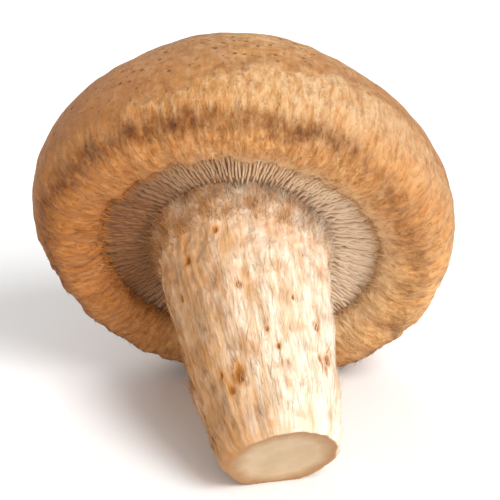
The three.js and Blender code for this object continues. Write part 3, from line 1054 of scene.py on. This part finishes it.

# %% [markdown]
# ## The tones of the margin and of the stem
#
# Threads lie on both the margin and the stem, and they have the tones of the mat that they lie
# on. So those two tones are groups as well: the surface and its threads read the same pattern,
# and a brown patch runs through both. Under the roll the fibre is cream near the rim and
# orange-brown close to the gills, with a broken arc between that is partly brown fibre and
# partly painted shade, where the roll turns in. Painted light and shade also make the fibre
# creamier on the right, browner on the left and paler close to the gills, against the shade
# of the recess there.

# %% The brown arc
ARC_DISTANCE = 5.0  # mm from the widest ring
ARC_DRIFT = 2.8  # mm nearer the gills on the +X side
ARC_WANDER = 0.7
ARC_HALF_WIDTH = 2.5
ARC_STRENGTH = 1.0
# Partly the fibre's own brown and partly painted shade, where the roll turns in.
ARC_BROWN_AND_SHADE = tone("5f2f0b")


def build_arc_group():
    tree, entry, leave = new_group("brown arc", {"Growth": ("Vector", None)})
    growth = entry["Growth"]
    side, _, distance = growth_parts(tree, growth)
    lobes = use(tree, PATCHES, Size=5.0, Edge=0.3, Level=0.5, Seed=17.0)
    place = calculate(tree, "ADD", rescale(tree, lobes, 0.0, 1.0, ARC_DISTANCE - ARC_WANDER,
                                           ARC_DISTANCE + ARC_WANDER),
                      rescale(tree, side, 0.6, 1.0, 0.0, ARC_DRIFT))
    away = calculate(tree, "ABSOLUTE", calculate(tree, "SUBTRACT", distance, place))
    dashes = use(tree, STREAKS, Growth=growth, Streaks_Around=120.0, Length=1.6, Seed=15.0)
    broken = use(tree, PATCHES, Size=4.5, Edge=0.2, Level=0.46, Seed=10.0)
    arc = both(tree, rescale(tree, away, ARC_HALF_WIDTH, 0.3),
               rescale(tree, dashes, 0.0, 0.8, 0.35, 1.0))
    arc = both(tree, arc, rescale(tree, broken, 0.0, 1.0, 0.3, 1.0))
    # The arc, partly painted shade, is halved on the far +X side, which the key light faces.
    tree.links.new(both(tree, arc, rescale(tree, side, 0.95, 0.5, 0.5, 1.0)), leave)
    return tree


ARC = build_arc_group()
print(ARC.name, "group ready")

# %% Tones of the margin
COTTON_CREAM = tone("e9caa0")
COTTON_TAN = tone("c08d56")
FIBRE_ORANGE = tone("b06c2e")
FIBRE_PALE = tone("e3ae72")
# A brown used for a stain at the upper right and as painted shade on the left.
FIBRE_BROWN_AND_SHADE = tone("a55d1b")
BRUISE_BROWN = tone("874d20")
FLECK_BROWN = tone("733a10")
FINE_FIBRE = {"Streaks_Around": 260.0, "Length": 1.7, "Seed": 3.0}


def build_margin_group():
    tree, entry, leave = new_group("margin tones", {"Growth": ("Vector", None)},
                                   ("Color", "Color"))
    growth = entry["Growth"]
    side, under, distance = growth_parts(tree, growth)
    fine = use(tree, STREAKS, Growth=growth, **FINE_FIBRE)
    broad = use(tree, STREAKS, Growth=growth, Streaks_Around=60.0, Length=3.5, Seed=5.0)
    # Painted light and shade: the cotton is creamier towards the right and tanner elsewhere.
    cream_share_with_painted_light = calculate(tree, "ADD", fine, rescale(tree, side, 0.0, 0.8, -0.3, 0.1), clamp=True)
    cotton = blend(tree, cream_share_with_painted_light, COTTON_TAN, COTTON_CREAM)
    # Painted light: the inner fibre is paler on the right.
    paler = calculate(tree, "ADD", fine, rescale(tree, side, 0.3, 0.9, 0.0, 0.35), clamp=True)
    inner = blend(tree, paler, FIBRE_ORANGE, FIBRE_PALE)
    reach = calculate(tree, "ADD", distance, rescale(tree, side, 0.4, 0.9, 0.0, 3.0))
    towards_gills = calculate(tree, "ADD", rescale(tree, reach, 1.5, 7.0),
                              rescale(tree, broad, 0.0, 1.0, -0.4, 0.4), clamp=True)
    colour = blend(tree, towards_gills, cotton, inner)
    bruise = use(tree, PATCHES, Size=1.4, Edge=0.08, Level=0.62, Seed=11.0)
    colour = stained(tree, bruise, 0.45, colour, BRUISE_BROWN)
    # Painted shade: the left side is browner.
    colour = stained(tree, rescale(tree, side, 0.1, -0.9), 0.6, colour, FIBRE_BROWN_AND_SHADE)
    upper_right = both(tree, rescale(tree, side, 0.2, 0.95), rescale(tree, under, 0.3, -0.2))
    colour = stained(tree, upper_right, 0.4, colour, FIBRE_BROWN_AND_SHADE)
    # Painted shade in part: the broken arc darkens the fibre where the roll turns in.
    arc = use(tree, ARC, Growth=growth)
    colour = stained(tree, arc, ARC_STRENGTH, colour, ARC_BROWN_AND_SHADE)
    flecks = use(tree, PATCHES, Size=0.9, Edge=0.05, Level=0.6, Seed=19.0)
    flecks = both(tree, flecks, rescale(tree, arc, 0.1, 0.4))
    colour = stained(tree, flecks, 0.55, colour, FLECK_BROWN)
    # Painted light: the fibre close to the gills is paler, against the shade of the recess, except
    # on the far left.
    painted_light_at_lip = both(tree, rescale(tree, distance, 9.0, 12.0), rescale(tree, side, -0.6, 0.2))
    colour = stained(tree, painted_light_at_lip, 0.5, colour, COTTON_CREAM)
    tree.links.new(colour, leave)
    return tree


MARGIN_TONES = build_margin_group()
print(MARGIN_TONES.name, "group ready")

# %% [markdown]
# The stem is the palest part: cream fibre with tan between the strands, mottled brown and
# fuzzy where it meets the gills, and rusty round its pits. Painted light makes its strands paler
# on the right, and painted shade over some brown stain makes its left side browner, most of all
# low down.

# %% Tones of the stem
STEM_CREAM = tone("f3e7d2")
STEM_TAN = tone("cda272")
STEM_FUZZ_BROWN = tone("b47a41")
# A brown for stains, used also as painted shade on the left.
STEM_STAIN_AND_SHADE = tone("bd8040")
PIT_RUST = tone("c8822f")
PIT_DARK = tone("8f5216")
FINE_STRAND_TONES = {"Streaks_Around": 170.0, "Length": 3.0, "Seed": 11.0}


def build_stem_group():
    tree, entry, leave = new_group("stem tones", {
        "Growth": ("Vector", None), "Pit": ("Float", 0.0)}, ("Color", "Color"))
    growth = entry["Growth"]
    side, _, height = growth_parts(tree, growth)
    strands = use(tree, STREAKS, Growth=growth, Streaks_Around=50.0, Length=6.0, Seed=9.0)
    fine = use(tree, STREAKS, Growth=growth, **FINE_STRAND_TONES)
    light = both(tree, strands, calculate(tree, "ADD", 0.5, fine))
    # Painted light and shade: the strands are paler on the right and tanner on the left.
    light = calculate(tree, "ADD", light, rescale(tree, side, -0.6, 0.8, -0.1, 0.3), clamp=True)
    colour = blend(tree, light, STEM_TAN, STEM_CREAM)
    blotch = use(tree, PATCHES, Size=2.6, Edge=0.08, Level=0.6, Seed=16.0)
    colour = stained(tree, blotch, 0.5, colour, STEM_STAIN_AND_SHADE)
    leftward = rescale(tree, side, 0.1, -0.9)
    # Painted shade over some brown stain: the left side is browner in patches.
    left_stain_and_shade = both(tree, leftward, use(tree, PATCHES, Size=4.0, Edge=0.3, Level=0.32, Seed=18.0))
    colour = stained(tree, left_stain_and_shade, 0.8, colour, STEM_STAIN_AND_SHADE)
    # Painted shade over some brown stain: low on the left the stem is browner still.
    low = both(tree, leftward, rescale(tree, height, 13.0, 3.0))
    colour = stained(tree, low, 0.5, colour, STEM_FUZZ_BROWN)
    towards_gills = rescale(tree, height, 14.0, 27.0)
    mottle = use(tree, PATCHES, Size=1.8, Edge=0.15, Level=0.47, Seed=20.0)
    colour = stained(tree, both(tree, towards_gills, mottle), 0.65, colour, STEM_FUZZ_BROWN)
    stain = use(tree, PATCHES, Size=1.2, Edge=0.06, Level=0.69, Seed=24.0)
    stain = both(tree, stain, rescale(tree, height, 3.0, 8.0))
    colour = stained(tree, stain, 0.6, colour, PIT_RUST)
    colour = stained(tree, entry["Pit"], 0.9, colour, PIT_RUST)
    colour = stained(tree, rescale(tree, entry["Pit"], 0.6, 1.0), 0.7, colour, PIT_DARK)
    tree.links.new(colour, leave)
    return tree


STEM_TONES = build_stem_group()
print(STEM_TONES.name, "group ready")

# %% [markdown]
# ## The cap's finish
#
# The skin is like suede: sandy tan with a pale bloom, darker where it is damp, rustier towards
# the rim at both flanks and brown where it has dried at the crown, with freckles and tiny dark
# specks. On the left, painted shade darkens it and strengthens the damp patches, and the rust
# of that flank is partly painted shade too. Where it ends, a thin broken brown line runs along
# its edge, and the margin's tones take over.

# %% The skin's tones
SKIN_SAND = tone("cd8a45")
SKIN_PALE = tone("edb872")
SKIN_BLOOM = tone("ebc79c")
# A damp brown, used also as painted shade on the left.
SKIN_DAMP_AND_SHADE = tone("8a5a30")
SKIN_CROWN = tone("80491f")
SKIN_SPECK = tone("52300f")
# Rust towards the rim; on the left flank it is partly painted shade.
RIM_RUST_AND_SHADE = tone("b06a2c")
BROWN_CROWN = (4, 20)  # mm from the crown, where its brown is full and where it has gone


def skin_tone(tree, growth, mottle):
    """The skin's colour, and the mask of its specks."""
    side, _, distance = growth_parts(tree, growth)
    fibrils = use(tree, STREAKS, Growth=growth, Streaks_Around=420.0, Length=2.5, Seed=1.0)
    skin = blend(tree, fibrils, SKIN_SAND, SKIN_PALE)
    skin = stained(tree, mottle, 0.7, skin, SKIN_DAMP_AND_SHADE)
    blotch = use(tree, PATCHES, Size=3.0, Edge=0.15, Level=0.52, Seed=3.0)
    skin = stained(tree, blotch, 0.45, skin, SKIN_DAMP_AND_SHADE)
    bloom = both(tree, use(tree, PATCHES, Size=1.5, Edge=0.1, Level=0.56, Seed=5.0),
                 use(tree, PATCHES, Size=6.0, Edge=0.12, Level=0.5, Seed=7.0))
    bloom = both(tree, bloom, rescale(tree, distance, -20.0, -9.0))
    skin = stained(tree, bloom, 0.6, skin, SKIN_BLOOM)
    damp_patches_with_shade = use(tree, PATCHES, Size=9.0, Edge=0.12, Level=0.52, Seed=4.0)
    # Painted shade: the damp patches are stronger on the left.
    damp_share_and_left_shade = calculate(tree, "ADD", 0.35, rescale(tree, side, 0.1, -0.9), clamp=True)
    damp_patches_with_shade = both(tree, damp_patches_with_shade, damp_share_and_left_shade)
    skin = stained(tree, damp_patches_with_shade, 0.6, skin, SKIN_DAMP_AND_SHADE)
    # Painted shade: the whole left side is darker.
    skin = stained(tree, rescale(tree, side, 0.1, -0.7), 0.4, skin, SKIN_DAMP_AND_SHADE)
    # Both flanks get rustier towards the rim; on the left this is partly painted shade.
    flanks = calculate(tree, "MAXIMUM", rescale(tree, side, 0.0, 0.7),
                       rescale(tree, side, 0.1, -0.5))
    rust_and_left_shade = both(tree, flanks, rescale(tree, distance, -14.0, -5.0))
    skin = stained(tree, rust_and_left_shade, 0.45, skin, RIM_RUST_AND_SHADE)
    freckles = use(tree, SPECKS, Spacing=1.0, Speck_Size=0.5, Kept=0.8, Seed=4.0)
    freckles = both(tree, freckles, rescale(tree, distance, -14.0, -4.0))
    skin = stained(tree, freckles, 0.5, skin, SKIN_DAMP_AND_SHADE)
    full, gone = (CROWN_DISTANCE + reach for reach in BROWN_CROWN)
    crown = rescale(tree, distance, gone, full)
    rays = use(tree, STREAKS, Growth=growth, Streaks_Around=46.0, Length=9.0, Seed=13.0)
    dried = use(tree, PATCHES, Size=3.5, Edge=0.2, Level=0.45, Seed=8.0)
    dried = calculate(tree, "ADD", both(tree, dried, 0.6), both(tree, rays, 0.5))
    dried = both(tree, dried, crown)
    dried = calculate(tree, "ADD", dried, both(tree, dried, crown), clamp=True)
    skin = stained(tree, dried, 0.85, skin, SKIN_CROWN)
    coarse = use(tree, SPECKS, Spacing=1.25, Speck_Size=0.3, Kept=0.7, Seed=1.0)
    small = use(tree, SPECKS, Spacing=0.75, Speck_Size=0.17, Kept=0.5, Seed=2.0)
    specks = calculate(tree, "MAXIMUM", coarse, both(tree, small, 0.7))
    skin = stained(tree, specks, 0.8, skin, SKIN_SPECK)
    # Where the skin reaches the arc, the arc darkens it too: partly brown, partly painted shade.
    return stained(tree, use(tree, ARC, Growth=growth), ARC_STRENGTH, skin, ARC_BROWN_AND_SHADE), specks


print("the crown's brown has gone", BROWN_CROWN[1], "mm from the top")

# %% The cap's material
RIM_BROWN = tone("96602f")
FLESH_SHEEN = 0.08


def cap_material():
    material, tree, surface = new_material("suede skin and cottony margin")
    growth = kept_growth(tree)
    mottle = use(tree, PATCHES, Size=0.9, Edge=0.16, Seed=6.0)
    fine = use(tree, STREAKS, Growth=growth, **FINE_FIBRE)
    fray = rescale(tree, calculate(tree, "ADD", mottle, fine), 0.0, 2.0, -0.45, 0.45)
    frayed = calculate(tree, "ADD", kept(tree, "skin"), fray)
    under = rescale(tree, frayed, 0.95, 0.1)
    skin, specks = skin_tone(tree, growth, mottle)
    colour = blend(tree, under, skin, use(tree, MARGIN_TONES, Growth=growth))
    rim = both(tree, rescale(tree, frayed, 0.2, 0.45), rescale(tree, frayed, 1.0, 0.7))
    torn = use(tree, PATCHES, Size=2.0, Edge=0.12, Level=0.5, Seed=12.0)
    colour = stained(tree, both(tree, rim, torn), 0.8, colour, RIM_BROWN)

    roughness = rescale(tree, under, 0.0, 1.0, 0.72, 0.95)
    nap = use(tree, NAP, Grain=0.35)
    height = calculate(tree, "ADD", nap, both(tree, fine, under))
    height = calculate(tree, "SUBTRACT", height, specks)
    finish_surface(tree, surface, colour, roughness, height, depth=0.2)
    soften(surface, scatter=0.12, radius=(1.0, 0.5, 0.25), depth=1.2, sheen=FLESH_SHEEN)
    return material


cap.data.materials.append(cap_material())
print(cap.data.materials[0].name)

# %% [markdown]
# ## The gills' finish
#
# Gills are greyish beige and dull. Their free edges catch the light, and the gaps between them
# are dark by themselves, because the blades shade each other. So the root needs hardly any
# brown of its own. No two blades have quite the same tone, and a few patches are stained.
# On the left, painted shade makes them brown, and on the right, painted light makes them paler.

# %% The gills' material
GILL_EDGE_TONE = tone("d6b28b")
GILL_PALE_TONE = tone("e8cba9")
GILL_ROOT_TONE = tone("d9b08a")
# A brown stain, used also as painted shade on the left.
GILL_STAIN_AND_SHADE = tone("7d4c26")
# Painted light: a pale tone for the right side.
GILL_PAINTED_LIGHT = tone("efdfcb")


def gill_material():
    material, tree, surface = new_material("pale gills")
    growth = kept_growth(tree)
    side = growth_parts(tree, growth)[0]
    edge = blend(tree, kept(tree, "shade"), GILL_EDGE_TONE, GILL_PALE_TONE)
    stain = use(tree, PATCHES, Size=2.5, Edge=0.15, Level=0.58, Seed=14.0)
    edge = stained(tree, stain, 0.3, edge, GILL_STAIN_AND_SHADE)
    # Painted shade: the blades are browner on the left.
    edge = stained(tree, rescale(tree, side, 0.2, -0.85), 0.9, edge, GILL_STAIN_AND_SHADE)
    # Painted light: the blades are paler on the right.
    edge = stained(tree, rescale(tree, side, 0.3, 0.9), 0.4, edge, GILL_PAINTED_LIGHT)
    colour = blend(tree, rescale(tree, kept(tree, "depth"), 0.1, 0.95), GILL_ROOT_TONE, edge)
    grain = use(tree, STREAKS, Growth=growth, Streaks_Around=300.0, Length=0.8, Seed=7.0)
    roughness = rescale(tree, grain, 0.0, 1.0, 0.75, 0.95)
    finish_surface(tree, surface, colour, roughness, grain, depth=0.03)
    soften(surface, scatter=0.15, radius=(1.0, 0.6, 0.35), depth=0.5)
    return material


gills.data.materials.append(gill_material())
print(gills.data.materials[0].name)

# %% [markdown]
# ## The stem's finish
#
# The flank has the stem's tones. The cut is a paler, smoother grey-beige, with a tan ring where
# the outer layer is cut through. The growth value is below zero on the cut, so one material
# can tell the two apart and the edge between them stays soft.

# %% The stem's material
CUT_PALE = tone("ccb290")
CUT_GREY = tone("b99c79")
CUT_RING = tone("a87d52")


def stem_material():
    material, tree, surface = new_material("fibrous stem and its cut")
    growth = kept_growth(tree)
    height = growth_parts(tree, growth)[2]
    flank = use(tree, STEM_TONES, Growth=growth, Pit=kept(tree, "pit"))
    cloud = use(tree, PATCHES, Size=3.5, Edge=0.2, Seed=22.0)
    face = blend(tree, cloud, CUT_GREY, CUT_PALE)
    ragged = use(tree, PATCHES, Size=1.6, Edge=0.25, Seed=23.0)
    inside = calculate(tree, "ADD", height, rescale(tree, ragged, 0.0, 1.0, -0.5, 0.5))
    face = blend(tree, rescale(tree, inside, -2.4, -0.5), face, CUT_RING)
    colour = blend(tree, rescale(tree, height, 0.1, -0.2), flank, face)
    roughness = rescale(tree, height, -0.4, 0.1, 0.6, 0.9)
    nap = use(tree, NAP, Grain=0.4)
    fine = use(tree, STREAKS, Growth=growth, **FINE_STRAND_TONES)
    strands = both(tree, fine, rescale(tree, height, -0.2, 0.2))
    finish_surface(tree, surface, colour, roughness, calculate(tree, "ADD", nap, strands),
                   depth=0.1)
    soften(surface, scatter=0.18, radius=(1.0, 0.6, 0.35), depth=1.6, sheen=FLESH_SHEEN)
    return material


stem.data.materials.append(stem_material())
print(stem.data.materials[0].name)

# %% [markdown]
# ## The threads' finish
#
# A thread has the tone of its mat, but no two threads have the same brightness: some are
# bleached and stand out, others are stained. One small recipe serves both mats.

# %% The threads' materials
MARGIN_THREAD_RANGE = (0.68, 1.32)  # the darkest and the palest thread
STEM_THREAD_RANGE = (0.78, 1.2)


def thread_material(name, tones, brightness_range, **marks):
    """Marks are further inputs of the tones: the socket's name and the value kept for it."""
    material, tree, surface = new_material(name)
    marks = {socket: kept(tree, mark) for socket, mark in marks.items()}
    shade = kept(tree, "shade")
    brightness = rescale(tree, shade, 0.0, 1.0, *brightness_range)
    mat_tone = use(tree, tones, Growth=kept_growth(tree), **marks)
    colour = add(tree, "HueSaturation", {"Value": brightness, "Color": mat_tone}).outputs[0]
    roughness = rescale(tree, shade, 0.0, 1.0, 0.95, 0.8)
    finish_surface(tree, surface, colour, roughness, use(tree, NAP, Grain=0.1), depth=0.01)
    surface.inputs["Specular IOR Level"].default_value = 0.1
    return material


margin_threads.data.materials.append(
    thread_material("margin threads", MARGIN_TONES, MARGIN_THREAD_RANGE))
stem_threads.data.materials.append(
    thread_material("stem threads", STEM_TONES, STEM_THREAD_RANGE, Pit="pit"))
for threads in (margin_threads, stem_threads):
    print(threads.data.materials[0].name)

# %% [markdown]
# ## Floor and light
#
# The picture is a catalogue shot: white all round, one broad light from the upper right, and so
# much bounced light that only the left side falls into shade. A low light in front reaches the
# cut and the gills, and a weak one from behind lifts the top of the cap. Suns with a wide angle
# are used as the softboxes. Unlike area lights close by, they light the whole floor evenly, so
# that it stays white up to the edges of the picture.

# %% The floor
FLOOR_HALF_WIDTH = 3.0  # metres
FLOOR_LEVEL = -0.00003
FLOOR_PALE = (0.95, 0.95, 0.95, 1)

floor_corners = [(x * FLOOR_HALF_WIDTH, y * FLOOR_HALF_WIDTH, FLOOR_LEVEL)
                 for x, y in ((-1, -1), (1, -1), (1, 1), (-1, 1))]
floor_mesh = bpy.data.meshes.new("floor")
floor_mesh.from_pydata(floor_corners, [], [(0, 1, 2, 3)])
floor = bpy.data.objects.new("floor", floor_mesh)
bpy.context.scene.collection.objects.link(floor)
floor_material, _, floor_surface = new_material("pale floor")
for name, value in (("Base Color", FLOOR_PALE), ("Roughness", 0.9), ("Specular IOR Level", 0.1)):
    floor_surface.inputs[name].default_value = value
floor_mesh.materials.append(floor_material)
print("floor", 2 * FLOOR_HALF_WIDTH, "m wide")

# %% The lights
def softbox(name, azimuth, elevation, width, strength):
    """A broad, far, white light: its direction and width are in degrees."""
    turn, rise = math.radians(azimuth), math.radians(elevation)
    away = Vector((math.sin(turn) * math.cos(rise), -math.cos(turn) * math.cos(rise),
                   math.sin(rise)))
    data = bpy.data.lights.new(name, "SUN")
    data.angle = math.radians(width)
    data.energy = strength
    lamp = bpy.data.objects.new(name, data)
    lamp.rotation_euler = (-away).to_track_quat("-Z", "Y").to_euler()
    bpy.context.scene.collection.objects.link(lamp)


softbox("key", azimuth=42, elevation=42, width=30, strength=2.7)
softbox("front", azimuth=18, elevation=10, width=60, strength=1.3)
softbox("back", azimuth=205, elevation=48, width=50, strength=0.8)

# %% The bounced light
WORLD_WHITE = (1, 0.99, 0.97, 1)
WORLD_STRENGTH = 0.48

world = bpy.data.worlds.new("studio")
bpy.context.scene.world = world
world.use_nodes = True
sky = world.node_tree.nodes["Background"].inputs
sky["Color"].default_value = WORLD_WHITE
sky["Strength"].default_value = WORLD_STRENGTH
bpy.context.scene.view_settings.view_transform = "Standard"
print("three lights and a pale world")

# %% [markdown]
# ## Hand the pieces over
#
# Every piece moves with the mushroom's one body, and so do the thread mats. The new cap, gills
# and stem stand for the packed ones, which are hidden.

# %% Ride and replace
for piece, node, slot in ((cap, "cap", "cap_skin"), (gills, "gills", "gill_flesh"),
                          (stem, "stem", "stem_flesh")):
    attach(piece, "root")
    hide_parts(node)
for piece, slot in ((margin_threads, "cap_skin"), (stem_threads, "stem_flesh")):
    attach(piece, "root")
